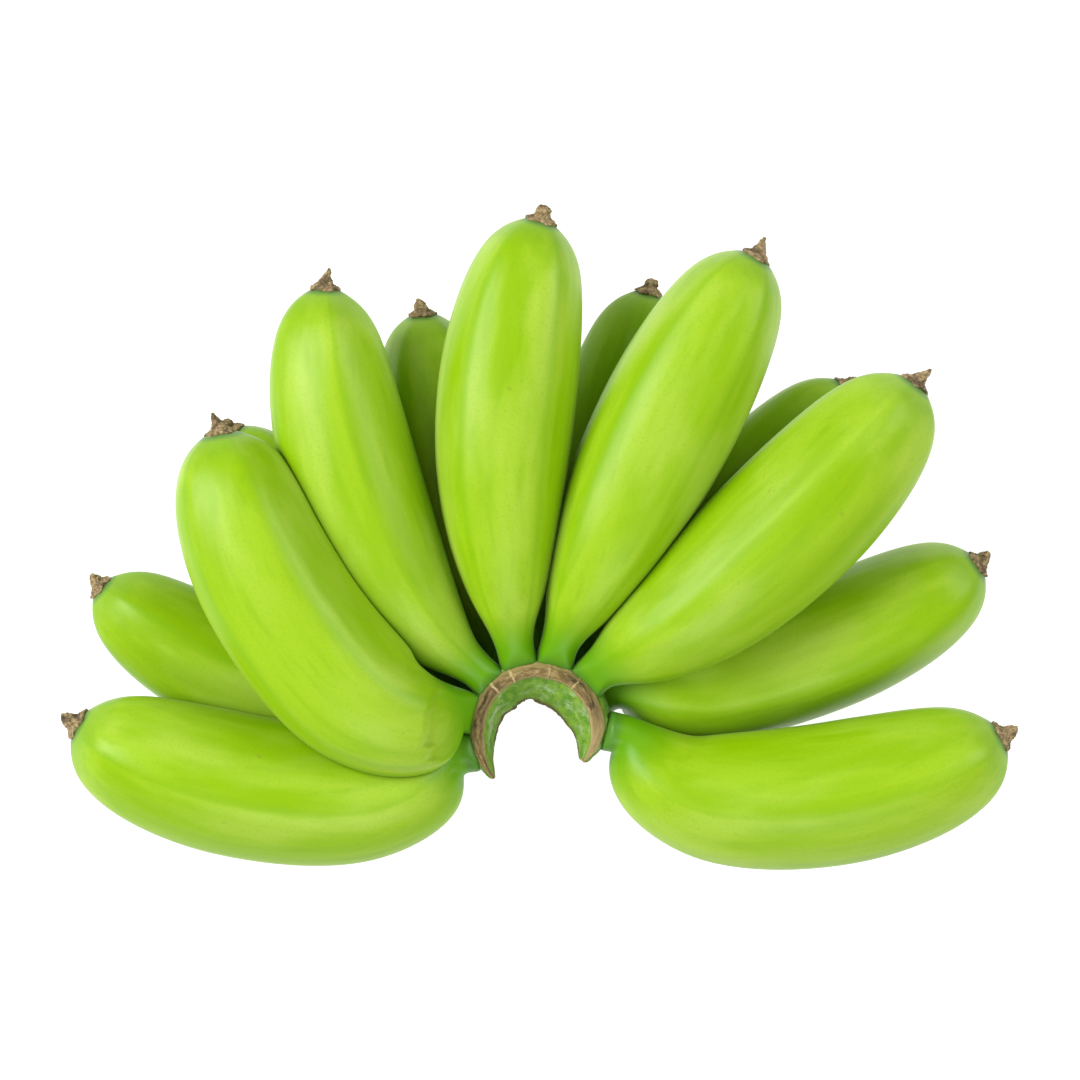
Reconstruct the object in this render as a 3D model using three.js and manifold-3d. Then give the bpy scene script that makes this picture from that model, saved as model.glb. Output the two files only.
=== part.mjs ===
// A hand of green dessert bananas as cut from its stalk: thirteen plump fingers in two rows, seven above and
// six below in the gaps between them, all growing outwards from a crescent of crown. Each finger ends in the
// dried remains of its flower. The hand lies on a surface with the crown's mouth towards -Y.
// Millimetres and degrees, +Z up. The origin is on the surface, at the middle of the hand's footprint.
import * as THREE from "three";
import { mergeVertices } from "three/addons/utils/BufferGeometryUtils.js";
import Module from "manifold-3d";

// ---- Driving dimensions ----
const FINGER_LENGTH = 120; // middle line of a full-size finger, from its root in the crown to its flower
const FINGER_THICKNESS = 37; // a full-size finger at its fullest
const NECK_THICKNESS = 10; // the stalk of a full-size finger, where it leaves the crown
const RIDGE_RELIEF = 0.022; // height of the five soft ridges, as a share of the finger's radius

const CROWN_RADIUS = 17.6; // outside of the crescent, where the necks join
const CROWN_FROM = -31; // the crescent's ends, measured round the crown's axis from +X
const CROWN_TO = 226;
const CROWN_TOP = 10; // scar ridge and cut base, measured from the crown's middle height
const CROWN_BASE = -14;
const FRONT_ROW_HEIGHT = 5; // where each row's necks leave the crown, from the same height
const BACK_ROW_HEIGHT = -6.5;
const NECK_ROOT = 1.5; // how deep in the wall a neck's middle line starts, before the neck is cut back to it

const FLOWER_BASE = 7.6; // width of the dried flower where it sits on the finger
const FLOWER_LENGTH = 6.5;
const GAP = 0.3; // between pieces that touch

const FINGER_SIDES = 15; // three to a ridge
const FINGER_RINGS = 20;
const FLOWER_SIDES = 9;
const CROWN_STEPS = 32;

// One row for each finger, from the left end of the hand to the right. Angles are in degrees.
//   seat   where its neck meets the crown, measured round the crown's axis from +X
//   leave  the way the neck points in plan, from +X
//   hook   how far it turns in plan at the shoulder, and bow, how far the body then bends evenly
//   climb  how steeply the neck climbs from the crown, and lift, how steeply the tip ends
//   long, thick  its length and thickness as shares of a full-size finger's
//   full   how blunt its shoulder is, from 0 for one that tapers slowly into the neck to 1
//   roll   how far its ridges are turned about its own middle line
const FINGERS = [
  ["front_1", FRONT_ROW_HEIGHT, 199, 223, -28, -45, -14, 8, 0.93, 1.02, 0.6, 10],
  ["back_1", BACK_ROW_HEIGHT, 183, 180, 0, -41, -32, 12, 0.93, 0.88, 0.2, 30],
  ["front_2", FRONT_ROW_HEIGHT, 167, 211, -59, -53, 24, 8, 0.95, 1.05, 0.8, 52],
  ["back_2", BACK_ROW_HEIGHT, 151, 147, 0, -26, -34, 12, 0.84, 0.84, 0, 5],
  ["front_3", FRONT_ROW_HEIGHT, 136, 148, -14, -46, 8, 8, 0.97, 0.95, 0, 20],
  ["back_3", BACK_ROW_HEIGHT, 121, 112, 0, -17, -33, 12, 0.84, 0.84, 0, 60],
  ["front_4", FRONT_ROW_HEIGHT, 107, 102, 0, -29, 16, 8, 0.98, 0.98, 0, 36],
  ["back_4", BACK_ROW_HEIGHT, 91, 71, 0, 5, -33, 12, 0.88, 0.84, 0, 15],
  ["front_5", FRONT_ROW_HEIGHT, 77, 68, 0, -8, 16, 8, 0.99, 0.99, 0, 44],
  ["back_5", BACK_ROW_HEIGHT, 61, 44, 0, 4, -33, 12, 0.9, 0.84, 0, 28],
  ["front_6", FRONT_ROW_HEIGHT, 46, 32, 0, 21, 16, 8, 0.97, 1.03, 0.1, 12],
  ["back_6", BACK_ROW_HEIGHT, 26, 4, 0, 31, -27, 12, 0.92, 0.95, 0.2, 50],
  ["front_7", FRONT_ROW_HEIGHT, 1, -65, 45, 49, -18, 8, 0.96, 1.02, 0.5, 25],
].map(([name, row, seat, leave, hook, bow, climb, lift, long, thick, full, roll]) => {
  return { name, row, seat, leave, hook, bow, climb, lift, long, thick, full, roll };
});

// ---- Finger ----
// Radius along a finger as a share of its greatest: how far along, with a slow shoulder, with a blunt one.
const BODY_PROFILE = [
  [0, NECK_THICKNESS / FINGER_THICKNESS, NECK_THICKNESS / FINGER_THICKNESS],
  [0.06, 0.31, 0.46],
  [0.15, 0.55, 0.8],
  [0.3, 0.8, 0.95],
  [0.48, 0.98, 1.0],
  [0.64, 1.0, 1.0],
  [0.8, 0.92, 0.93],
  [0.91, 0.75, 0.75],
  [0.97, 0.5, 0.5],
  [1.0, FLOWER_BASE / FINGER_THICKNESS, FLOWER_BASE / FINGER_THICKNESS],
];
const HOOK_END = 0.3; // the shoulder's turn is over by here, as a share of the length
const CLIMB_END = 0.42; // and the neck's climb by here

const radians = THREE.MathUtils.degToRad;

// 0 at the start and 1 from the share `end` onwards, turning smoothly.
function eased(share, end) {
  return THREE.MathUtils.smoothstep(share, 0, end);
}

// The way that the middle line points at a share of its length.
function direction(finger, share) {
  const heading = radians(finger.leave + finger.hook * eased(share, HOOK_END) + finger.bow * share);
  const pitch = radians(finger.climb * (1 - eased(share, CLIMB_END)) + finger.lift * share);
  return new THREE.Vector3(
    Math.cos(pitch) * Math.cos(heading),
    Math.cos(pitch) * Math.sin(heading),
    Math.sin(pitch),
  );
}

// Where the neck's middle line starts, in the crown's wall.
function rootPoint(finger) {
  const reach = CROWN_RADIUS - NECK_ROOT;
  const angle = radians(finger.seat);
  return new THREE.Vector3(reach * Math.cos(angle), reach * Math.sin(angle), finger.row);
}

// Points and directions along the middle line, from the crown to the flower, closer together at both ends.
function middleLine(finger) {
  const length = FINGER_LENGTH * finger.long;
  const stations = [];
  const point = rootPoint(finger);
  let before = 0;
  for (let i = 0; i <= FINGER_RINGS; i++) {
    const share = (1 - Math.cos((Math.PI * i) / FINGER_RINGS)) / 2;
    point.addScaledVector(direction(finger, (share + before) / 2), (share - before) * length);
    before = share;
    stations.push({ share, point: point.clone(), along: direction(finger, share) });
  }
  return stations;
}

const slowProfile = profilePoints(1);
const bluntProfile = profilePoints(2);

function profilePoints(column) {
  const points = BODY_PROFILE.map((row) => new THREE.Vector2(row[0], row[column]));
  return new THREE.SplineCurve(points).getPoints(200);
}

function profileAt(points, share) {
  const after = Math.max(1, points.findIndex((p) => p.x >= share - 1e-9));
  const a = points[after - 1];
  const b = points[after];
  const mix = THREE.MathUtils.clamp((share - a.x) / (b.x - a.x), 0, 1);
  return THREE.MathUtils.lerp(a.y, b.y, mix);
}

// The finger's radius at a share of its length, without its ridges.
function radiusAt(finger, share) {
  const slow = profileAt(slowProfile, share);
  const blunt = profileAt(bluntProfile, share);
  return (THREE.MathUtils.lerp(slow, blunt, finger.full) * FINGER_THICKNESS * finger.thick) / 2;
}

// A closed skin over rings of points, with a point at the middle of each end. Rings run from start to end.
function skinOver(rings, startPoint, endPoint) {
  const sides = rings[0].length;
  const positions = [...rings.flat(), startPoint, endPoint].flatMap((p) => p.toArray());
  const index = [];
  const startIndex = rings.length * sides;
  const last = (rings.length - 1) * sides;
  for (let j = 0; j < sides; j++) {
    const k = (j + 1) % sides;
    for (let i = 0; i + 1 < rings.length; i++) {
      const a = i * sides;
      const b = a + sides;
      index.push(a + j, a + k, b + k, a + j, b + k, b + j);
    }
    index.push(startIndex, k, j);
    index.push(startIndex + 1, last + j, last + k);
  }
  const geometry = new THREE.BufferGeometry();
  geometry.setAttribute("position", new THREE.Float32BufferAttribute(positions, 3));
  geometry.setIndex(index);
  return geometry;
}

// A round section of the given radius across `along`, with five soft ridges if relief is above zero.
function section(centre, along, radius, sides, roll, relief) {
  const left = new THREE.Vector3(-along.y, along.x, 0).normalize();
  const up = new THREE.Vector3().crossVectors(along, left);
  const ring = [];
  for (let j = 0; j < sides; j++) {
    const turn = (2 * Math.PI * j) / sides;
    const reach = radius * (1 + relief * Math.cos(5 * turn));
    const angle = turn + radians(roll);
    ring.push(
      centre
        .clone()
        .addScaledVector(left, reach * Math.cos(angle))
        .addScaledVector(up, reach * Math.sin(angle)),
    );
  }
  return ring;
}

// A finger's skin, everywhere `extra` further out than its true surface.
function fingerGeometry(finger, extra) {
  const stations = middleLine(finger);
  const rings = stations.map(({ share, point, along }) =>
    section(point, along, radiusAt(finger, share) + extra, FINGER_SIDES, finger.roll, RIDGE_RELIEF),
  );
  const first = stations[0];
  const last = stations[stations.length - 1];
  return skinOver(rings, first.point, last.point);
}

// ---- Dried flower ----
// Radius at each height above the finger's end: a flared base, a waist and a blunt spike.
const FLOWER_PROFILE = [
  [0, 0.5 * FLOWER_BASE],
  [0.12 * FLOWER_LENGTH, 0.46 * FLOWER_BASE],
  [0.35 * FLOWER_LENGTH, 0.27 * FLOWER_BASE],
  [0.7 * FLOWER_LENGTH, 0.17 * FLOWER_BASE],
  [0.96 * FLOWER_LENGTH, 0.08 * FLOWER_BASE],
];

function flowerGeometry(finger, extra) {
  const stations = middleLine(finger);
  const { point, along } = stations[stations.length - 1];
  const start = point.clone().addScaledVector(along, GAP);
  const rings = FLOWER_PROFILE.map(([height, radius]) => {
    const centre = start.clone().addScaledVector(along, height);
    return section(centre, along, radius + extra, FLOWER_SIDES, finger.roll, 0);
  });
  return skinOver(rings, start, start.clone().addScaledVector(along, FLOWER_LENGTH));
}

// ---- Crown ----
// The crescent's section, as distance from the crown's axis and height: the dry scar ridge on top, the green
// stalk skin that slopes in from it, and the cut face that runs back down to the wall behind.
const CROWN_SECTION = [
  [CROWN_RADIUS - 2.5, CROWN_BASE],
  [CROWN_RADIUS - 0.5, CROWN_BASE + 1.5],
  [CROWN_RADIUS, CROWN_BASE + 5],
  [CROWN_RADIUS, CROWN_TOP - 2.5],
  [CROWN_RADIUS - 0.6, CROWN_TOP - 0.6],
  [CROWN_RADIUS - 2.2, CROWN_TOP],
  [CROWN_RADIUS - 4.0, CROWN_TOP - 0.8],
  [CROWN_RADIUS - 4.6, CROWN_TOP - 2.4],
  [CROWN_RADIUS - 7.6, CROWN_TOP - 4.6],
  [CROWN_RADIUS - 9.8, CROWN_TOP - 8.5],
  [CROWN_RADIUS - 9.2, CROWN_TOP - 12],
  [CROWN_RADIUS - 6, CROWN_BASE + 4],
];
const CROWN_POINT = [CROWN_RADIUS - 2.4, CROWN_TOP - 3]; // what the section shrinks to at the crescent's ends
const CROWN_END_SHARE = 0.16; // its size there
const CROWN_TAPER = 0.2; // the share of the crescent, at each end, over which it shrinks

// The crescent's skin, everywhere `extra` further out than its true surface.
function crownGeometry(extra) {
  const rings = [];
  const further = THREE.MathUtils.radToDeg(extra / CROWN_POINT[0]);
  for (let i = 0; i <= CROWN_STEPS; i++) {
    const share = i / CROWN_STEPS;
    const angle = radians(THREE.MathUtils.lerp(CROWN_FROM - further, CROWN_TO + further, share));
    const inward = Math.min(1, Math.min(share, 1 - share) / CROWN_TAPER);
    const size = THREE.MathUtils.lerp(CROWN_END_SHARE, 1, Math.sin((Math.PI / 2) * inward));
    const outline = CROWN_SECTION.map(([reach, height]) => {
      return new THREE.Vector2(reach - CROWN_POINT[0], height - CROWN_POINT[1]).multiplyScalar(size);
    });
    const middle = middleOf(outline, new THREE.Vector2());
    const ring = outline.map((corner) => {
      const away = corner.clone().sub(middle).setLength(extra);
      const reach = CROWN_POINT[0] + corner.x + away.x;
      const height = CROWN_POINT[1] + corner.y + away.y;
      return new THREE.Vector3(reach * Math.cos(angle), reach * Math.sin(angle), height);
    });
    rings.push(ring.reverse());
  }
  const ends = [rings[0], rings[rings.length - 1]].map((ring) => middleOf(ring, new THREE.Vector3()));
  return skinOver(rings, ...ends);
}

function middleOf(points, sum) {
  points.forEach((point) => sum.add(point));
  return sum.divideScalar(points.length);
}

// ---- Solids that press on each other ----
const wasm = await Module();
wasm.setup();

function solid(geometry) {
  const merged = mergeVertices(geometry, 1e-4);
  const mesh = new wasm.Mesh({
    numProp: 3,
    vertProperties: merged.attributes.position.array,
    triVerts: new Uint32Array(merged.index.array),
  });
  return new wasm.Manifold(mesh);
}

function largestBody(manifold) {
  return manifold.decompose().reduce((best, body) => (body.volume() > best.volume() ? body : best));
}

function meshOf(manifold, name, material) {
  const { numProp, vertProperties, triVerts } = manifold.getMesh();
  const count = vertProperties.length / numProp;
  const positions = new Float32Array(count * 3);
  for (let i = 0; i < count; i++) {
    positions.set(vertProperties.subarray(i * numProp, i * numProp + 3), i * 3);
  }
  const geometry = new THREE.BufferGeometry();
  geometry.setAttribute("position", new THREE.BufferAttribute(positions, 3));
  geometry.setIndex(new THREE.BufferAttribute(triVerts, 1));
  geometry.computeVertexNormals();
  const mesh = new THREE.Mesh(geometry, material);
  mesh.name = name;
  return mesh;
}

const peel = new THREE.MeshStandardMaterial({ color: 0xa2cf2c, roughness: 0.45, metalness: 0 });
const driedFlower = new THREE.MeshStandardMaterial({ color: 0x86704a, roughness: 0.9, metalness: 0 });
const crownSkin = new THREE.MeshStandardMaterial({ color: 0x86a250, roughness: 0.7, metalness: 0 });

// What is already in place, each a gap larger than it is. A later piece is flattened where it presses on it.
const taken = [solid(crownGeometry(GAP))];

function place(name, geometry, grown, material) {
  const pressed = taken.reduce((body, other) => body.subtract(other), solid(geometry));
  taken.push(solid(grown));
  return meshOf(largestBody(pressed), name, material);
}

const hand = new THREE.Group();
hand.add(meshOf(solid(crownGeometry(0)), "crown", crownSkin));
for (const finger of FINGERS) {
  const name = `finger_${finger.name}`;
  hand.add(place(name, fingerGeometry(finger, 0), fingerGeometry(finger, GAP), peel));
}
for (const finger of FINGERS) {
  const name = `flower_${finger.name}`;
  hand.add(place(name, flowerGeometry(finger, 0), flowerGeometry(finger, GAP), driedFlower));
}

// ---- Set down on the surface ----
const bounds = new THREE.Box3().setFromObject(hand);
hand.position.set(
  -(bounds.min.x + bounds.max.x) / 2,
  -(bounds.min.y + bounds.max.y) / 2,
  -bounds.min.z,
);
const bananaHand = new THREE.Group();
bananaHand.add(hand);

export default bananaHand;
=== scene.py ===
import math
from collections import namedtuple

import bpy
from mathutils import Matrix, Vector, noise
from mathutils.bvhtree import BVHTree


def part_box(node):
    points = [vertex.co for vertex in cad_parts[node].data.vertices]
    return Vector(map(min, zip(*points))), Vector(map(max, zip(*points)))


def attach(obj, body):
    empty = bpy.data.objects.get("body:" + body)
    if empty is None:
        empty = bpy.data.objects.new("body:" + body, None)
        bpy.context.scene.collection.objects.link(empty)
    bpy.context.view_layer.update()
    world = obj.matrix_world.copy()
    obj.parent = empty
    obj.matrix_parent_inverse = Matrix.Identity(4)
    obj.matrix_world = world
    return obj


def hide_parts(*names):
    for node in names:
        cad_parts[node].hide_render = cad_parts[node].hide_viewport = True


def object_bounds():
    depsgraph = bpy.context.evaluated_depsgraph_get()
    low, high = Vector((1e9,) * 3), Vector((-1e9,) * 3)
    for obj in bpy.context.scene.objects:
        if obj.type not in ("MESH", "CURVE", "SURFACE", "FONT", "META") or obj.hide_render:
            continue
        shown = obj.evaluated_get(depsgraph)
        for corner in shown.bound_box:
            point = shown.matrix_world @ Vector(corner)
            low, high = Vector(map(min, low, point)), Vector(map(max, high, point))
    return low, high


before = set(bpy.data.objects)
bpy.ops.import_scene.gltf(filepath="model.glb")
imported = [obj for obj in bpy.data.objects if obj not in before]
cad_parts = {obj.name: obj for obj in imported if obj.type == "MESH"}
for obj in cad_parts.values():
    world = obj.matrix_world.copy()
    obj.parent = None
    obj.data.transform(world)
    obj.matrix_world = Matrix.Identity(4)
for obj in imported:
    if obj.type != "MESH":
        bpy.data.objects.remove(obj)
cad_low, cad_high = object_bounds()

# ---- Camera, surface and light ----
# The hand lies on a plain white table and is looked at from straight above, from arm's length. A large
# softbox on the left gives most of the light, and weaker ones on the right and in front fill the shadows.
MM = 0.001
CROWN_RADIUS = 17.6 * MM
CROWN_TOP = 10 * MM
crown_low, crown_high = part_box("crown")
crown_axis = Vector((
    (crown_low[0] + crown_high[0]) / 2,
    crown_high[1] - CROWN_RADIUS,
    crown_high[2] - CROWN_TOP,
))

bpy.ops.object.camera_add(location=(crown_axis.x + 0.1 * MM, crown_axis.y + 49.2 * MM, 0.9))
camera = bpy.context.object
camera.data.sensor_width = 36
camera.data.lens = 111
bpy.context.scene.camera = camera
bpy.context.scene.view_settings.view_transform = "Standard"


def linear(hex_colour):
    """An sRGB hex colour as linear red, green, blue and alpha."""
    channels = [int(hex_colour[i : i + 2], 16) / 255 for i in (1, 3, 5)]
    return [c / 12.92 if c <= 0.04045 else ((c + 0.055) / 1.055) ** 2.4 for c in channels] + [1.0]


def new_material(name):
    """A material and its shader, ready for nodes."""
    material = bpy.data.materials.new(name)
    material.use_nodes = True
    return material, material.node_tree.nodes["Principled BSDF"]


def add_node(material, kind, inputs, **settings):
    """One more node in the material. Each input is given a value, or the output of another node."""
    node = material.node_tree.nodes.new(kind)
    for name, value in settings.items():
        setattr(node, name, value)
    for to, value in inputs.items():
        if isinstance(value, bpy.types.NodeSocket):
            material.node_tree.links.new(value, node.inputs[to])
        else:
            node.inputs[to].default_value = value
    return node


bpy.ops.object.select_all(action="DESELECT")
TABLE_GAP = 0.5 * MM
bpy.ops.mesh.primitive_plane_add(size=6, location=(0, 0, cad_low[2] - TABLE_GAP))
table = bpy.context.object
table.name = "table"
white_laminate, shader = new_material("white_laminate")
shader.inputs["Base Color"].default_value = linear("#9a9a9a")
shader.inputs["Roughness"].default_value = 0.6
shader.inputs["Specular IOR Level"].default_value = 0.1
shader.inputs["Emission Color"].default_value = linear("#ffffff")
shader.inputs["Emission Strength"].default_value = 0.88
table.data.materials.append(white_laminate)

world = bpy.data.worlds.new("soft_white_room")
world.use_nodes = True
world.node_tree.nodes["Background"].inputs["Color"].default_value = linear("#ffffff")
world.node_tree.nodes["Background"].inputs["Strength"].default_value = 0.38
bpy.context.scene.world = world


def softbox(name, place, size, power):
    """A square softbox that faces the middle of the hand."""
    aim = Vector((0, 0, 0.03)) - Vector(place)
    bpy.ops.object.light_add(type="AREA", location=place, rotation=aim.to_track_quat("-Z", "Y").to_euler())
    light = bpy.context.object
    light.name = name
    light.data.size = size
    light.data.energy = power


softbox("softbox_left", (-1.1, 0.35, 1.1), 0.9, 31)
softbox("softbox_right", (1.2, 0.5, 0.9), 0.9, 14)
softbox("softbox_front", (0.1, -1.2, 1.0), 0.8, 9)

# ---- Fingers ----
# Each banana is one growth of flesh in a green waxy peel: a round neck that swells into a blunt body with
# five soft ridges, and draws in to the scar of its flower. It grew bent, pressed against its neighbours.
FINGER_LENGTH = 120 * MM
FINGER_THICKNESS = 37 * MM
FRONT_ROW = 5 * MM
BACK_ROW = -6.5 * MM
NECK_ROOT = 1.5 * MM
NECK_END = 0.05
NECK_FADE = 0.28
HOOK_END = 0.3
CLIMB_END = 0.42

# One row for each finger, from left to right. Angles are in degrees.
#   seat   where it grows from the crown
#   leave  the way it leaves, hook how far it turns at the shoulder, and bow along the body
#   climb  the neck's climb, and lift the tip's
#   long, thick  its length and thickness as shares of a full-size finger's
#   full   how blunt its shoulder is
#   roll   the turn of its ridges
#   step   how many millimetres the neck stands aside, outwards and upwards
Finger = namedtuple("Finger", "name row seat leave hook bow climb lift long thick full roll step")
FINGERS = [
    Finger("front_1", FRONT_ROW, 199, 223, -28, -45, -14, 8, 0.93, 1.02, 0.85, 10, (-4, 3, 0)),
    Finger("back_1", BACK_ROW, 183, 180, 0, -41, -32, 12, 0.93, 0.88, 0.2, 30, (0, 0, 0)),
    Finger("front_2", FRONT_ROW, 167, 211, -59, -53, 24, 8, 0.95, 1.05, 1.0, 40, (-4, 2, 0)),
    Finger("back_2", BACK_ROW, 151, 147, 0, -26, -34, 12, 0.84, 0.84, 0, 5, (0, 0, 0)),
    Finger("front_3", FRONT_ROW, 136, 148, -14, -46, 8, 8, 0.97, 0.95, 0, 32, (-1.2, 0, 0)),
    Finger("back_3", BACK_ROW, 121, 112, 0, -17, -33, 12, 0.84, 0.84, 0, 60, (0, 0, 0)),
    Finger("front_4", FRONT_ROW, 107, 102, 0, -29, 16, 8, 0.98, 0.98, 0, 54, (0.5, 0, 0)),
    Finger("back_4", BACK_ROW, 91, 71, 0, 5, -33, 12, 0.88, 0.84, 0, 15, (0, 0, 0)),
    Finger("front_5", FRONT_ROW, 77, 68, 0, -8, 16, 8, 0.99, 0.99, 0, 54, (1.2, 0, 0)),
    Finger("back_5", BACK_ROW, 61, 44, 0, 4, -33, 12, 0.9, 0.84, 0, 28, (0, 0, 0)),
    Finger("front_6", FRONT_ROW, 46, 32, 0, 21, 16, 8, 0.97, 1.03, 0.3, 12, (1.3, 0, 0)),
    Finger("back_6", BACK_ROW, 26, 4, 0, 31, -27, 12, 0.92, 0.95, 0.85, 50, (3, 3, 6)),
    Finger("front_7", FRONT_ROW, 1, -65, 45, 49, -18, 8, 0.96, 1.02, 0.55, 25, (3.2, 4.5, 0)),
]

# Rings of the body: how far along, then the radius as a share of the fullest with a slow shoulder and with
# a blunt one, and how far the ridges stand out there.
Ring = namedtuple("Ring", "share slow blunt ridge")
RINGS = [
    Ring(0.0, 0.29, 0.295, 0.0),
    Ring(0.02, 0.275, 0.282, 0.01),
    Ring(0.04, 0.266, 0.285, 0.02),
    Ring(0.06, 0.27, 0.32, 0.02),
    Ring(0.085, 0.297, 0.48, 0.025),
    Ring(0.11, 0.355, 0.66, 0.03),
    Ring(0.14, 0.46, 0.79, 0.034),
    Ring(0.18, 0.58, 0.87, 0.034),
    Ring(0.23, 0.69, 0.93, 0.032),
    Ring(0.3, 0.8, 0.96, 0.029),
    Ring(0.38, 0.89, 0.985, 0.027),
    Ring(0.47, 0.965, 1.0, 0.026),
    Ring(0.56, 0.995, 1.0, 0.026),
    Ring(0.65, 1.0, 1.0, 0.026),
    Ring(0.73, 0.965, 0.965, 0.028),
    Ring(0.8, 0.91, 0.915, 0.033),
    Ring(0.86, 0.835, 0.84, 0.039),
    Ring(0.91, 0.735, 0.735, 0.046),
    Ring(0.945, 0.615, 0.615, 0.052),
    Ring(0.97, 0.475, 0.475, 0.056),
    Ring(0.985, 0.35, 0.35, 0.05),
    Ring(0.996, 0.235, 0.235, 0.03),
    Ring(1.0, 0.16, 0.16, 0.0),
]
RIDGE_STRENGTH = 0.85
SIDES = 30


def smooth(share, end):
    """0 at the start and 1 from the share `end` onwards, turning smoothly."""
    t = min(1, max(0, share / end))
    return t * t * (3 - 2 * t)


def heading(finger, share):
    """The way that the middle line points at a share of its length, apart from its neck's step aside."""
    turn = math.radians(finger.leave + finger.hook * smooth(share, HOOK_END) + finger.bow * share)
    pitch = math.radians(finger.climb * (1 - smooth(share, CLIMB_END)) + finger.lift * share)
    return Vector((math.cos(pitch) * math.cos(turn), math.cos(pitch) * math.sin(turn), math.sin(pitch)))


def middle_line(finger, steps=60):
    """Points along the finger's middle line, from its root in the crown to its flower."""
    seat = math.radians(finger.seat)
    reach = CROWN_RADIUS - NECK_ROOT
    point = crown_axis + Vector((reach * math.cos(seat), reach * math.sin(seat), finger.row))
    aside, outwards, upwards = finger.step
    step = Vector((outwards, aside, upwards)) * MM
    step.rotate(Matrix.Rotation(seat, 3, "Z"))
    points = [point.copy()]
    for i in range(steps):
        point += heading(finger, (i + 0.5) / steps) * FINGER_LENGTH * finger.long / steps
        share = (i + 1) / steps
        points.append(point + step * smooth(share, NECK_END) * (1 - smooth(share - NECK_END, NECK_FADE)))
    return points


def straight_finger(finger):
    """The finger before it bends, standing on its neck, as rings that are extruded upwards in turn."""
    length = FINGER_LENGTH * finger.long
    fullest = FINGER_THICKNESS * finger.thick / 2
    radii = [fullest * (ring.slow + (ring.blunt - ring.slow) * finger.full) for ring in RINGS]
    bpy.ops.object.select_all(action="DESELECT")
    bpy.ops.mesh.primitive_circle_add(vertices=SIDES, radius=radii[0], location=(0, 0, 0))
    piece = bpy.context.object
    bpy.ops.object.mode_set(mode="EDIT")
    bpy.ops.mesh.select_all(action="SELECT")
    for i in range(1, len(RINGS)):
        step = (RINGS[i].share - RINGS[i - 1].share) * length
        bpy.ops.mesh.extrude_region_move(TRANSFORM_OT_translate={"value": (0, 0, step)})
        share = radii[i] / radii[i - 1]
        bpy.ops.transform.resize(value=(share, share, 1), center_override=(0, 0, RINGS[i].share * length))
    bpy.ops.mesh.edge_face_add()
    bpy.ops.mesh.select_all(action="DESELECT")
    bpy.ops.mesh.select_non_manifold()
    bpy.ops.mesh.edge_face_add()
    bpy.ops.mesh.select_all(action="SELECT")
    bpy.ops.mesh.normals_make_consistent(inside=False)
    bpy.ops.object.mode_set(mode="OBJECT")
    return piece


def mark_peel(piece, finger, number):
    """Raises the ridges and notes each point's place on the straight finger, for the peel's pattern."""
    length = FINGER_LENGTH * finger.long
    mesh = piece.data
    mesh.attributes.new("straight", "FLOAT_VECTOR", "POINT")
    mesh.attributes.new("along", "FLOAT", "POINT")
    mesh.attributes.new("ridge", "FLOAT", "POINT")
    straight = mesh.attributes["straight"].data
    along = mesh.attributes["along"].data
    ridge = mesh.attributes["ridge"].data
    for i, vertex in enumerate(mesh.vertices):
        share = vertex.co.z / length
        angle = math.atan2(vertex.co.y, vertex.co.x)
        crest = math.cos(5 * (angle - math.radians(finger.roll)))
        ring = min(RINGS, key=lambda near: abs(near.share - share))
        straight[i].vector = vertex.co + Vector((0.2 * number, 0, 0))
        along[i].value = share
        ridge[i].value = crest
        sharp = crest + 0.25 * (2 * crest * crest - 1)
        vertex.co.x *= 1 + RIDGE_STRENGTH * ring.ridge * sharp
        vertex.co.y *= 1 + RIDGE_STRENGTH * ring.ridge * sharp


def bend(piece, finger):
    """Bends the straight finger along its own middle line."""
    points = middle_line(finger)
    line = bpy.data.curves.new("middle_line", "CURVE")
    line.dimensions = "3D"
    line.twist_mode = "Z_UP"
    line.use_stretch = True
    line.use_deform_bounds = True
    spline = line.splines.new("POLY")
    spline.points.add(len(points) - 1)
    for knot, point in zip(spline.points, points):
        knot.co = (*point, 1)
    guide = bpy.data.objects.new("middle_line", line)
    bpy.context.scene.collection.objects.link(guide)
    modifier = piece.modifiers.new("bend", "CURVE")
    modifier.object = guide
    modifier.deform_axis = "POS_Z"
    bpy.context.view_layer.objects.active = piece
    bpy.ops.object.modifier_apply(modifier="bend")
    bpy.data.objects.remove(guide)


# The necks come out of the crown's wall, below the rim of its scar.
WALL = CROWN_RADIUS - 0.8 * MM
RIM = 8.2 * MM
RIM_SOFTNESS = 1.6 * MM
CLEAR_OF_CROWN = 1.6 * CROWN_RADIUS


def soften_shoulder(piece):
    """Smooths what the bend has crowded together on the inside of the shoulder."""
    shoulder = piece.vertex_groups.new(name="shoulder")
    for vertex, along in zip(piece.data.vertices, piece.data.attributes["along"].data):
        share = smooth(along.value, 0.05) * (1 - smooth(along.value - 0.2, 0.15))
        shoulder.add([vertex.index], share, "REPLACE")
    modifier = piece.modifiers.new("soften", "SMOOTH")
    modifier.vertex_group = "shoulder"
    modifier.factor = 0.5
    modifier.iterations = 7
    bpy.ops.object.modifier_apply(modifier="soften")
    piece.vertex_groups.clear()


def seat_neck(piece):
    """Ends the neck at the crown's wall, and keeps its top under the scar's rim until it is clear of it."""
    for vertex in piece.data.vertices:
        offset = vertex.co - crown_axis
        reach = offset.xy.length
        if reach > CLEAR_OF_CROWN:
            continue
        if reach < WALL:
            outwards = offset.xy.normalized() * WALL
            offset.x, offset.y = outwards
            reach = WALL
        knee = RIM - RIM_SOFTNESS + (reach - WALL)
        if offset.z > knee:
            offset.z = knee + RIM_SOFTNESS * (1 - math.exp((knee - offset.z) / RIM_SOFTNESS))
        vertex.co = crown_axis + offset


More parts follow.
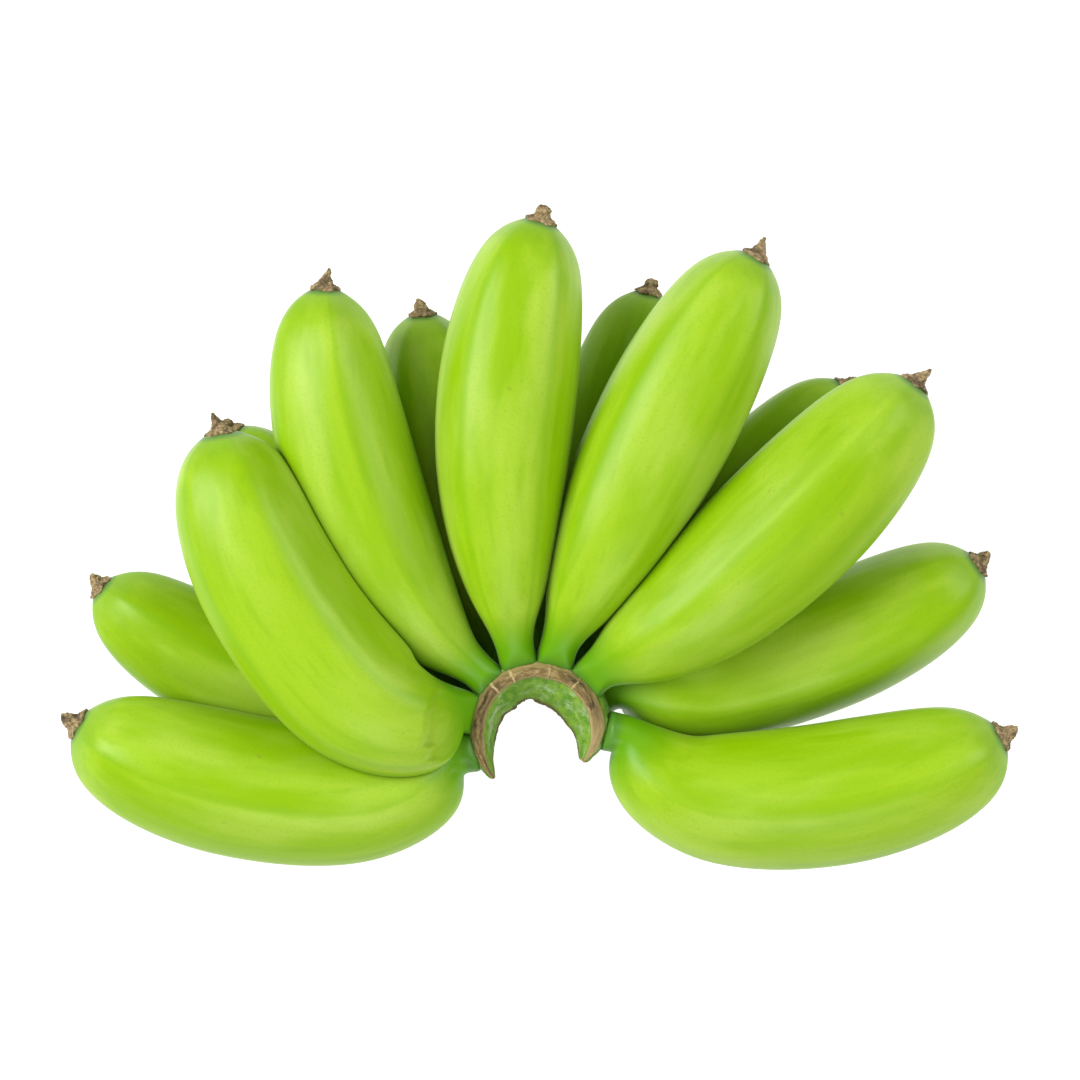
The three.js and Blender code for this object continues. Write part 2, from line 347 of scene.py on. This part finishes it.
fingers = {}
for number, finger in enumerate(FINGERS):
    piece = straight_finger(finger)
    mark_peel(piece, finger, number)
    bend(piece, finger)
    soften_shoulder(piece)
    piece.modifiers.new("smooth", "SUBSURF").levels = 2
    bpy.ops.object.modifier_apply(modifier="smooth")
    seat_neck(piece)
    piece.name = "peel_" + finger.name
    bpy.ops.object.shade_smooth()
    fingers[finger.name] = piece


def press_together(pieces, rounds=6, clearance=0.08 * MM, deepest=7 * MM):
    """Where two fingers run into each other both give way inwards, except at the necks, which stay."""
    for turn in range(rounds):
        give = 0.52 if turn < rounds - 1 else 1.0
        trees = {}
        boxes = {}
        for name, piece in pieces.items():
            points = [v.co.copy() for v in piece.data.vertices]
            trees[name] = BVHTree.FromPolygons(points, [p.vertices for p in piece.data.polygons])
            low = Vector([min(p[k] for p in points) for k in range(3)])
            high = Vector([max(p[k] for p in points) for k in range(3)])
            boxes[name] = (low, high)
        for name, piece in pieces.items():
            low, high = boxes[name]
            others = []
            for other, (other_low, other_high) in boxes.items():
                near = all(low[k] < other_high[k] and other_low[k] < high[k] for k in range(3))
                if other != name and near:
                    others.append((boxes[other], trees[other]))
            pushes = [Vector() for vertex in piece.data.vertices]
            along = piece.data.attributes["along"].data
            for vertex in piece.data.vertices:
                free = smooth(along[vertex.index].value - 0.05, 0.08)
                if free == 0:
                    continue
                for (low, high), tree in others:
                    if all(low[k] < vertex.co[k] < high[k] for k in range(3)):
                        hit, normal, face, distance = tree.find_nearest(vertex.co)
                        inside = (hit - vertex.co).dot(normal)
                        if 0 < inside < deepest:
                            inwards = normal if normal.dot(vertex.normal) < 0 else -vertex.normal
                            pushes[vertex.index] += inwards * (inside * give + clearance) * free
            for spread in range(2):
                for edge in piece.data.edges:
                    a, b = edge.vertices
                    middle = (pushes[a] + pushes[b]) / 2
                    pushes[a] = pushes[a].lerp(middle, 0.4)
                    pushes[b] = pushes[b].lerp(middle, 0.4)
            for vertex, push in zip(piece.data.vertices, pushes):
                vertex.co += push
        for piece in pieces.values():
            piece.data.update()


press_together(fingers)

# Unripe banana peel: a thin smooth skin under a film of wax with a faint bloom. It gives a satin surface
# whose colour runs in streaks along the finger, greener on the ridges, at the neck and round the flower.
# The pores are drawn as coarse as they need to show.
green_peel, shader = new_material("green_waxy_peel")
place = add_node(green_peel, "ShaderNodeAttribute", {}, attribute_name="straight").outputs["Vector"]
along = add_node(green_peel, "ShaderNodeAttribute", {}, attribute_name="along").outputs["Fac"]
ridge = add_node(green_peel, "ShaderNodeAttribute", {}, attribute_name="ridge").outputs["Fac"]
drawn_out = add_node(green_peel, "ShaderNodeMapping", {"Vector": place, "Scale": (1, 1, 0.11)}).outputs[0]
bands = add_node(green_peel, "ShaderNodeTexNoise", {"Vector": drawn_out, "Scale": 130, "Detail": 2})
streaks = add_node(green_peel, "ShaderNodeTexNoise", {"Vector": drawn_out, "Scale": 480, "Detail": 3})
stretched = add_node(green_peel, "ShaderNodeMapping", {"Vector": place, "Scale": (1, 1, 0.35)}).outputs[0]
patches = add_node(green_peel, "ShaderNodeTexNoise", {"Vector": stretched, "Scale": 70, "Detail": 3})
pores = add_node(green_peel, "ShaderNodeTexNoise", {"Vector": place, "Scale": 1500, "Detail": 2})
flecks = add_node(green_peel, "ShaderNodeTexNoise", {"Vector": place, "Scale": 260, "Detail": 1})

peel_colour = linear("#80a800")
peel_layers = [
    ("light_bands", bands.outputs[0], 0.4, 0.64, 0.0, 0.55, "#96b824"),
    ("green_streaks", streaks.outputs[0], 0.5, 0.72, 0.0, 0.25, "#6c9a00"),
    ("pale_patches", patches.outputs[0], 0.44, 0.72, 0.0, 0.55, "#a2bc46"),
    ("green_ridges", ridge, 0.7, 1.0, 0.0, 0.4, "#70a000"),
    ("pores", pores.outputs[0], 0.5, 0.75, 0.0, 0.3, "#729a10"),
    ("flecks", flecks.outputs[0], 0.77, 0.84, 0.0, 0.4, "#7d8428"),
    ("green_tip", along, 0.92, 1.0, 0.0, 0.5, "#6c9620"),
    ("flower_halo", along, 0.985, 0.996, 0.0, 0.8, "#4c7436"),
    ("green_neck", along, 0.05, 0.16, 0.9, 0.0, "#548f00"),
    ("bluish_root", along, 0.015, 0.045, 0.7, 0.0, "#42722a"),
]
for name, source, start, end, share_at_start, share_at_end, hex_colour in peel_layers:
    share = add_node(
        green_peel,
        "ShaderNodeMapRange",
        {
            "Value": source,
            "From Min": start,
            "From Max": end,
            "To Min": share_at_start,
            "To Max": share_at_end,
        },
        interpolation_type="SMOOTHSTEP",
    )
    layer = add_node(
        green_peel,
        "ShaderNodeMix",
        {0: share.outputs[0], 6: peel_colour, 7: linear(hex_colour)},
        data_type="RGBA",
        label=name,
    )
    peel_colour = layer.outputs[2]
green_peel.node_tree.links.new(peel_colour, shader.inputs["Base Color"])
skin_bump = add_node(
    green_peel,
    "ShaderNodeBump",
    {"Height": pores.outputs[0], "Strength": 0.3, "Distance": 0.05 * MM},
)
streak_bump = add_node(
    green_peel,
    "ShaderNodeBump",
    {"Height": bands.outputs[0], "Normal": skin_bump.outputs[0], "Strength": 0.5, "Distance": 0.8 * MM},
)
green_peel.node_tree.links.new(streak_bump.outputs[0], shader.inputs["Normal"])
shader.inputs["Roughness"].default_value = 0.38
shader.inputs["Specular IOR Level"].default_value = 0.2
shader.inputs["Sheen Weight"].default_value = 0.03
shader.inputs["Sheen Roughness"].default_value = 0.35
shader.inputs["Subsurface Weight"].default_value = 0.1
shader.inputs["Subsurface Radius"].default_value = (0.6, 1.0, 0.15)
shader.inputs["Subsurface Scale"].default_value = 2.5 * MM

for name, piece in fingers.items():
    piece.data.materials.clear()
    piece.data.materials.append(green_peel)
    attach(piece, "root")
    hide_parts("finger_" + name)

# ---- Dried flowers ----
# What is left of each flower: a ragged brown collar, dry and fibrous, with the withered style standing in it.
# It stays fixed to the scar at the finger's end, and each is one of three shapes, turned and sized for its
# finger.
COLLAR = [(-1.3, 2.9), (-0.5, 3.75), (0.05, 4.1), (0.35, 3.6), (0.8, 2.7), (1.5, 1.95)]
SPIKES = {
    "horn": [(2.3, 1.55, 0.2), (3.2, 1.15, 0.5), (4.1, 0.75, 0.9), (4.9, 0.42, 1.2), (5.4, 0.18, 1.3)],
    "knob": [(1.9, 1.9, 0.1), (2.5, 1.95, 0.2), (3.1, 1.7, 0.1), (3.6, 1.15, 0.0), (3.8, 0.5, 0.0)],
    "stub": [(2.0, 1.7, 0.3), (2.7, 1.5, 0.6), (3.3, 1.15, 0.6), (3.8, 0.8, 0.9), (4.2, 0.35, 1.2)],
}
FLOWER_SIDES = 20


def ring_up(height, share, centre):
    """Extrudes the selected ring upwards, and makes it larger or smaller about its own middle."""
    bpy.ops.mesh.extrude_region_move(TRANSFORM_OT_translate={"value": height})
    bpy.ops.transform.resize(value=(share, share, 1), center_override=centre)


def dried_flower(kind):
    """A collar with one spike on it, in metres, standing on the scar with its base at the origin."""
    bpy.ops.object.select_all(action="DESELECT")
    height, radius = COLLAR[0]
    bpy.ops.mesh.primitive_circle_add(
        vertices=FLOWER_SIDES, radius=radius * MM, location=(0, 0, height * MM), fill_type="NGON"
    )
    piece = bpy.context.object
    bpy.ops.object.transform_apply(location=True)
    bpy.ops.object.mode_set(mode="EDIT")
    bpy.ops.mesh.select_all(action="SELECT")
    aside = 0
    for next_height, next_radius, next_aside in [(*ring, 0) for ring in COLLAR[1:]] + SPIKES[kind]:
        step = Vector((next_aside - aside, 0, next_height - height)) * MM
        centre = Vector((next_aside, 0, next_height)) * MM
        ring_up(step, next_radius / radius, centre)
        height, radius, aside = next_height, next_radius, next_aside
    bpy.ops.mesh.select_all(action="SELECT")
    bpy.ops.transform.vertex_random(offset=0.34 * MM, uniform=1.0, seed=len(kind) + ord(kind[0]))
    bpy.ops.mesh.normals_make_consistent(inside=False)
    bpy.ops.object.mode_set(mode="OBJECT")
    for vertex in piece.data.vertices:
        angle = math.atan2(vertex.co.y, vertex.co.x)
        rim = max(0, 1 - abs(vertex.co.z - 0.1 * MM) / (0.9 * MM))
        vertex.co.x *= 1 + 0.16 * rim * math.cos(5 * angle + len(kind))
        vertex.co.y *= 1 + 0.16 * rim * math.cos(5 * angle + len(kind))
        vertex.co.z -= 0.7 * MM * rim * math.cos(5 * angle + len(kind))
    piece.modifiers.new("smooth", "SUBSURF").levels = 2
    bpy.ops.object.modifier_apply(modifier="smooth")
    shrivel = bpy.data.textures.new("shrivel", "CLOUDS")
    shrivel.noise_scale = 0.8 * MM
    shrivel.noise_depth = 2
    modifier = piece.modifiers.new("shrivel", "DISPLACE")
    modifier.texture = shrivel
    modifier.strength = 0.7 * MM
    bpy.ops.object.modifier_apply(modifier="shrivel")
    return piece


dried_fibre, shader = new_material("dried_flower_fibre")
place = add_node(dried_fibre, "ShaderNodeTexCoord", {}).outputs["Object"]
fibres = add_node(
    dried_fibre,
    "ShaderNodeTexNoise",
    {"Vector": place, "Scale": 1100, "Detail": 4, "Roughness": 0.7},
)
blotches = add_node(dried_fibre, "ShaderNodeTexNoise", {"Vector": place, "Scale": 420, "Detail": 2})
fibre_share = add_node(
    dried_fibre,
    "ShaderNodeMapRange",
    {"Value": fibres.outputs[0], "From Min": 0.4, "From Max": 0.62},
)
brown = add_node(
    dried_fibre,
    "ShaderNodeMix",
    {0: fibre_share.outputs[0], 6: linear("#645231"), 7: linear("#a89268")},
    data_type="RGBA",
)
blotch_share = add_node(
    dried_fibre,
    "ShaderNodeMapRange",
    {"Value": blotches.outputs[0], "From Min": 0.5, "From Max": 0.62, "To Max": 0.7},
)
blotched = add_node(
    dried_fibre,
    "ShaderNodeMix",
    {0: blotch_share.outputs[0], 6: brown.outputs[2], 7: linear("#3a2d1a")},
    data_type="RGBA",
)
dried_fibre.node_tree.links.new(blotched.outputs[2], shader.inputs["Base Color"])
fibre_bump = add_node(
    dried_fibre,
    "ShaderNodeBump",
    {"Height": fibres.outputs[0], "Strength": 0.8, "Distance": 0.2 * MM},
)
dried_fibre.node_tree.links.new(fibre_bump.outputs[0], shader.inputs["Normal"])
shader.inputs["Roughness"].default_value = 0.85

# Each finger's flower: its shape, how far it is turned round, and its size.
FLOWERS = {
    "front_1": ("stub", 90, 1.15),
    "back_1": ("stub", 200, 0.95),
    "front_2": ("horn", 30, 1.0),
    "back_2": ("knob", 80, 0.95),
    "front_3": ("horn", 150, 1.0),
    "back_3": ("stub", 310, 0.95),
    "front_4": ("knob", 20, 1.05),
    "back_4": ("knob", 250, 0.95),
    "front_5": ("horn", 300, 1.0),
    "back_5": ("stub", 120, 0.9),
    "front_6": ("horn", 210, 1.0),
    "back_6": ("stub", 20, 1.0),
    "front_7": ("stub", 260, 1.1),
}
patterns = {kind: dried_flower(kind) for kind in SPIKES}
for finger in FINGERS:
    kind, turned, size = FLOWERS[finger.name]
    piece = patterns[kind].copy()
    piece.data = patterns[kind].data.copy()
    piece.name = "dried_" + finger.name
    bpy.context.scene.collection.objects.link(piece)
    outwards = heading(finger, 1.0)
    turn = outwards.to_track_quat("Z", "Y").to_matrix().to_4x4()
    turn = turn @ Matrix.Rotation(math.radians(turned), 4, "Z")
    tip = middle_line(finger)[-1]
    piece.data.transform(Matrix.Translation(tip) @ turn @ Matrix.Scale(size, 4))
    for polygon in piece.data.polygons:
        polygon.use_smooth = True
    piece.data.materials.clear()
    piece.data.materials.append(dried_fibre)
    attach(piece, "root")
    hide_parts("flower_" + finger.name)
for pattern in patterns.values():
    bpy.data.objects.remove(pattern)

# ---- Crown ----
# The crown is what is left of the stalk round the necks: a crescent of green stalk skin, torn and cut on
# its inside, whose top edge has dried into a rough brown cork with a few paler ribs across it.
CROWN_FROM = -35
CROWN_TO = 228
CROWN_STEPS = 66
CORK, SKIN, CUT = 0, 1, 2
CROWN_SECTION = [
    (15.0, -14.0, CUT),
    (16.8, -13.4, SKIN),
    (18.6, -10.5, SKIN),
    (19.5, -4.0, SKIN),
    (19.6, 2.0, SKIN),
    (18.9, 5.8, SKIN),
    (18.0, 7.6, SKIN),
    (17.0, 8.8, CORK),
    (16.5, 9.8, CORK),
    (15.5, 10.1, CORK),
    (14.5, 9.8, CORK),
    (13.9, 9.0, CORK),
    (13.6, 8.0, SKIN),
    (12.6, 7.1, SKIN),
    (11.0, 5.7, SKIN),
    (9.3, 3.6, SKIN),
    (8.0, 1.6, SKIN),
    (7.5, 0.6, CORK),
    (7.9, -0.5, CORK),
    (8.9, -3.4, CUT),
    (10.6, -8.0, CUT),
    (12.8, -12.4, CUT),
]
SKIN_EDGE = 13.6
INNER_LIP = 7.5
LEFT_POINT = (16.9, 7.5)
RIGHT_POINT = (14.2, 7.0)
END_SHARE = 0.1
TAPER = 0.2
OFF_CENTRE = 0.5

# How far the inner edge stands from the crown's axis, round the crescent: degrees and millimetres.
INNER_EDGE = [(-35, 4.4), (-20, 7.2), (-10, 7.9), (0, 7.8), (12, 7.0), (40, 6.1), (60, 6.1)]
INNER_EDGE += [(80, 6.2), (90, 6.6), (104, 8.0), (122, 8.0), (138, 7.7), (162, 9.3), (180, 10.1)]
INNER_EDGE += [(205, 10.4), (228, 10.6)]

# Ribs on the scar: degrees round the crescent, width in millimetres and strength.
RIBS = [(51, 0.8, 0.8), (74, 0.6, 0.5), (79, 0.7, 0.7), (115, 0.9, 0.9), (135, 1.0, 1.0), (173, 0.9, 0.4)]


def inner_edge(angle):
    """The inner edge's distance from the crown's axis at an angle in degrees."""
    for (a, near), (b, far) in zip(INNER_EDGE, INNER_EDGE[1:]):
        if angle <= b:
            return near + (far - near) * smooth(angle - a, b - a)
    return INNER_EDGE[-1][1]


bpy.ops.object.select_all(action="DESELECT")
bpy.ops.mesh.primitive_circle_add(vertices=len(CROWN_SECTION), radius=MM, location=(0, 0, 0))
crown = bpy.context.object
crown.name = "crown_of_stalk"
for vertex, (reach, height, kind) in zip(crown.data.vertices, CROWN_SECTION):
    start = math.radians(CROWN_TO)
    vertex.co = Vector((reach * math.cos(start), reach * math.sin(start), height)) * MM
bpy.ops.object.mode_set(mode="EDIT")
bpy.ops.mesh.select_all(action="SELECT")
bpy.ops.mesh.spin(
    steps=CROWN_STEPS, angle=math.radians(CROWN_TO - CROWN_FROM), center=(0, 0, 0), axis=(0, 0, 1)
)
bpy.ops.mesh.select_all(action="SELECT")
bpy.ops.mesh.fill_holes(sides=len(CROWN_SECTION))
bpy.ops.mesh.select_all(action="SELECT")
bpy.ops.mesh.normals_make_consistent(inside=False)
bpy.ops.object.mode_set(mode="OBJECT")


def shape_crown(mesh):
    """Gives the crescent its torn inner edge and tapered ends, and marks its cork and its cut face."""
    mesh.attributes.new("cork", "FLOAT", "POINT")
    mesh.attributes.new("cut", "FLOAT", "POINT")
    mesh.attributes.new("unrolled", "FLOAT_VECTOR", "POINT")
    cork = mesh.attributes["cork"].data
    cut = mesh.attributes["cut"].data
    unrolled = mesh.attributes["unrolled"].data
    for i, vertex in enumerate(mesh.vertices):
        angle = math.degrees(math.atan2(vertex.co.y, vertex.co.x))
        angle += 360 if angle < -90 else 0
        reach = vertex.co.xy.length / MM
        height = vertex.co.z / MM
        kind = min(CROWN_SECTION, key=lambda point: abs(point[0] - reach) + abs(point[1] - height))[2]
        share = (angle - CROWN_FROM) / (CROWN_TO - CROWN_FROM)
        at_end = min(share, 1 - share) < 0.01
        cork[i].value = 1 if kind == CORK or at_end else 0
        cut[i].value = 1 if kind == CUT and not at_end else 0
        unrolled[i].vector = Vector((math.radians(angle) * CROWN_RADIUS, reach * MM, height * MM))
        if reach < SKIN_EDGE:
            widen = (SKIN_EDGE - inner_edge(angle)) / (SKIN_EDGE - INNER_LIP)
            reach = SKIN_EDGE - (SKIN_EDGE - reach) * widen
        point = LEFT_POINT if share > 0.5 else RIGHT_POINT
        from_end = min(1, max(0, min(share, 1 - share)) / TAPER)
        size = END_SHARE + (1 - END_SHARE) * math.sin(math.pi / 2 * from_end)
        reach = point[0] + (reach - point[0]) * size
        height = point[1] + (height - point[1]) * size
        across = vertex.co.xy.normalized() * reach
        vertex.co = Vector((across.x - OFF_CENTRE, across.y, height)) * MM


def roughen_crown(mesh):
    """Corky lumps, cracks and ribs on the scar, and soft knobs on the green skin."""
    mesh.attributes.new("rib", "FLOAT", "POINT")
    cork = mesh.attributes["cork"].data
    unrolled = mesh.attributes["unrolled"].data
    rib = mesh.attributes["rib"].data
    moved = []
    for i, vertex in enumerate(mesh.vertices):
        place = unrolled[i].vector / MM
        fibre = Vector((place.x * 0.35, place.y, place.z))
        ribs = 0
        for middle, width, strength in RIBS:
            wavy = math.radians(middle) * CROWN_RADIUS / MM + 0.5 * noise.noise(vertex.co / MM)
            ribs += strength * math.exp(-(((place.x - wavy) / (0.4 * width)) ** 2))
        rib[i].value = ribs * cork[i].value
        rough = 0.24 * noise.noise(fibre * 0.9) + 0.2 * noise.noise(fibre * 2.1) + 0.25 * ribs
        soft = 0.4 * noise.noise(place * 0.33) + 0.15 * noise.noise(place * 1.0)
        moved.append(vertex.co + vertex.normal * (rough * cork[i].value + soft * (1 - cork[i].value)) * MM)
    for vertex, place in zip(mesh.vertices, moved):
        vertex.co = place


shape_crown(crown.data)
crown.modifiers.new("smooth", "SUBSURF").levels = 2
bpy.context.view_layer.objects.active = crown
bpy.ops.object.modifier_apply(modifier="smooth")
roughen_crown(crown.data)
crown.data.transform(Matrix.Translation(crown_axis))
bpy.ops.object.shade_smooth()

# Stalk skin and its cork: green skin, mottled with whitish scuffs and darker stains, runs up to a dry brown
# scar with a fibrous grain, dark pits and paler edges, and a dark line where the two meet. The cut face is
# dry and tan.
stalk_skin, shader = new_material("stalk_skin_and_cork")
place = add_node(stalk_skin, "ShaderNodeTexCoord", {}).outputs["Object"]
cork = add_node(stalk_skin, "ShaderNodeAttribute", {}, attribute_name="cork").outputs["Fac"]
cut = add_node(stalk_skin, "ShaderNodeAttribute", {}, attribute_name="cut").outputs["Fac"]
rib = add_node(stalk_skin, "ShaderNodeAttribute", {}, attribute_name="rib").outputs["Fac"]
unrolled = add_node(stalk_skin, "ShaderNodeAttribute", {}, attribute_name="unrolled").outputs["Vector"]
fibre_place = add_node(stalk_skin, "ShaderNodeMapping", {"Vector": unrolled, "Scale": (0.3, 1, 1)}).outputs[0]
fibres = add_node(
    stalk_skin,
    "ShaderNodeTexNoise",
    {"Vector": fibre_place, "Scale": 1100, "Detail": 4, "Roughness": 0.75},
)
pits = add_node(
    stalk_skin,
    "ShaderNodeTexNoise",
    {"Vector": fibre_place, "Scale": 520, "Detail": 3, "Roughness": 0.6},
)
stains = add_node(stalk_skin, "ShaderNodeTexNoise", {"Vector": fibre_place, "Scale": 150, "Detail": 2})
mottle = add_node(
    stalk_skin,
    "ShaderNodeTexNoise",
    {"Vector": place, "Scale": 360, "Detail": 5, "Roughness": 0.6},
)
smear_place = add_node(stalk_skin, "ShaderNodeMapping", {"Vector": unrolled, "Scale": (0.5, 1, 1)}).outputs[0]
scuffs = add_node(
    stalk_skin,
    "ShaderNodeTexNoise",
    {"Vector": smear_place, "Scale": 300, "Detail": 6, "Roughness": 0.7},
)
blots = add_node(
    stalk_skin,
    "ShaderNodeTexNoise",
    {"Vector": place, "Scale": 520, "Detail": 4, "Roughness": 0.7},
)
parts = add_node(stalk_skin, "ShaderNodeSeparateXYZ", {0: unrolled}).outputs
around = parts[0]
across = parts[1]
RIDGE_MIDDLE = 15.4 * MM
from_middle = add_node(
    stalk_skin,
    "ShaderNodeMath",
    {0: across, 1: RIDGE_MIDDLE},
    operation="SUBTRACT",
).outputs[0]
from_middle = add_node(stalk_skin, "ShaderNodeMath", {0: from_middle}, operation="ABSOLUTE").outputs[0]
ragged = add_node(
    stalk_skin,
    "ShaderNodeMath",
    {0: mottle.outputs[0], 1: 0.45, 2: cork},
    operation="MULTIPLY_ADD",
).outputs[0]


def paint(colour, layers):
    """Lays stains over a colour: what drives each, its start, end and strength there, and its colour."""
    for source, start, end, strength, hex_colour in layers:
        share = add_node(
            stalk_skin,
            "ShaderNodeMapRange",
            {"Value": source, "From Min": start, "From Max": end, "To Max": strength},
        )
        layer = add_node(
            stalk_skin,
            "ShaderNodeMix",
            {0: share.outputs[0], 6: colour, 7: linear(hex_colour)},
            data_type="RGBA",
        )
        colour = layer.outputs[2]
    return colour


skin_colour = paint(linear("#4d7c1a"), [
    (mottle.outputs[0], 0.4, 0.6, 0.9, "#729629"),
    (scuffs.outputs[0], 0.5, 0.66, 0.8, "#96aa7a"),
    (blots.outputs[0], 0.56, 0.7, 0.6, "#345916"),
    (ragged, 0.5, 0.66, 0.85, "#403e1b"),
])
cork_colour = paint(linear("#6b5830"), [
    (fibres.outputs[0], 0.44, 0.62, 0.9, "#a08c5c"),
    (stains.outputs[0], 0.48, 0.64, 0.75, "#4a381b"),
    (pits.outputs[0], 0.54, 0.66, 0.9, "#2c2010"),
    (from_middle, 0.9 * MM, 1.5 * MM, 0.75, "#a08c5a"),
    (around, 8 * MM, -3 * MM, 0.5, "#b8a470"),
    (rib, 0.3, 0.8, 0.9, "#b8a476"),
])
cork_share = add_node(stalk_skin, "ShaderNodeMapRange", {"Value": ragged, "From Min": 0.66, "From Max": 0.74})
joined = add_node(
    stalk_skin,
    "ShaderNodeMix",
    {0: cork_share.outputs[0], 6: skin_colour, 7: cork_colour},
    data_type="RGBA",
)
stalk_colour = paint(joined.outputs[2], [
    (across, 11.5 * MM, 8.5 * MM, 0.45, "#5d8010"),
    (cut, 0.35, 0.65, 1.0, "#8c7953"),
    (across, 8.5 * MM, 7.9 * MM, 0.85, "#4c3c1b"),
])
stalk_skin.node_tree.links.new(stalk_colour, shader.inputs["Base Color"])
bark_bump = add_node(
    stalk_skin,
    "ShaderNodeBump",
    {"Height": fibres.outputs[0], "Strength": 0.8, "Distance": 0.25 * MM},
)
stalk_skin.node_tree.links.new(bark_bump.outputs[0], shader.inputs["Normal"])
shader.inputs["Roughness"].default_value = 0.75
shader.inputs["Specular IOR Level"].default_value = 0.3
crown.data.materials.clear()
crown.data.materials.append(stalk_skin)
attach(crown, "root")
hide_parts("crown")
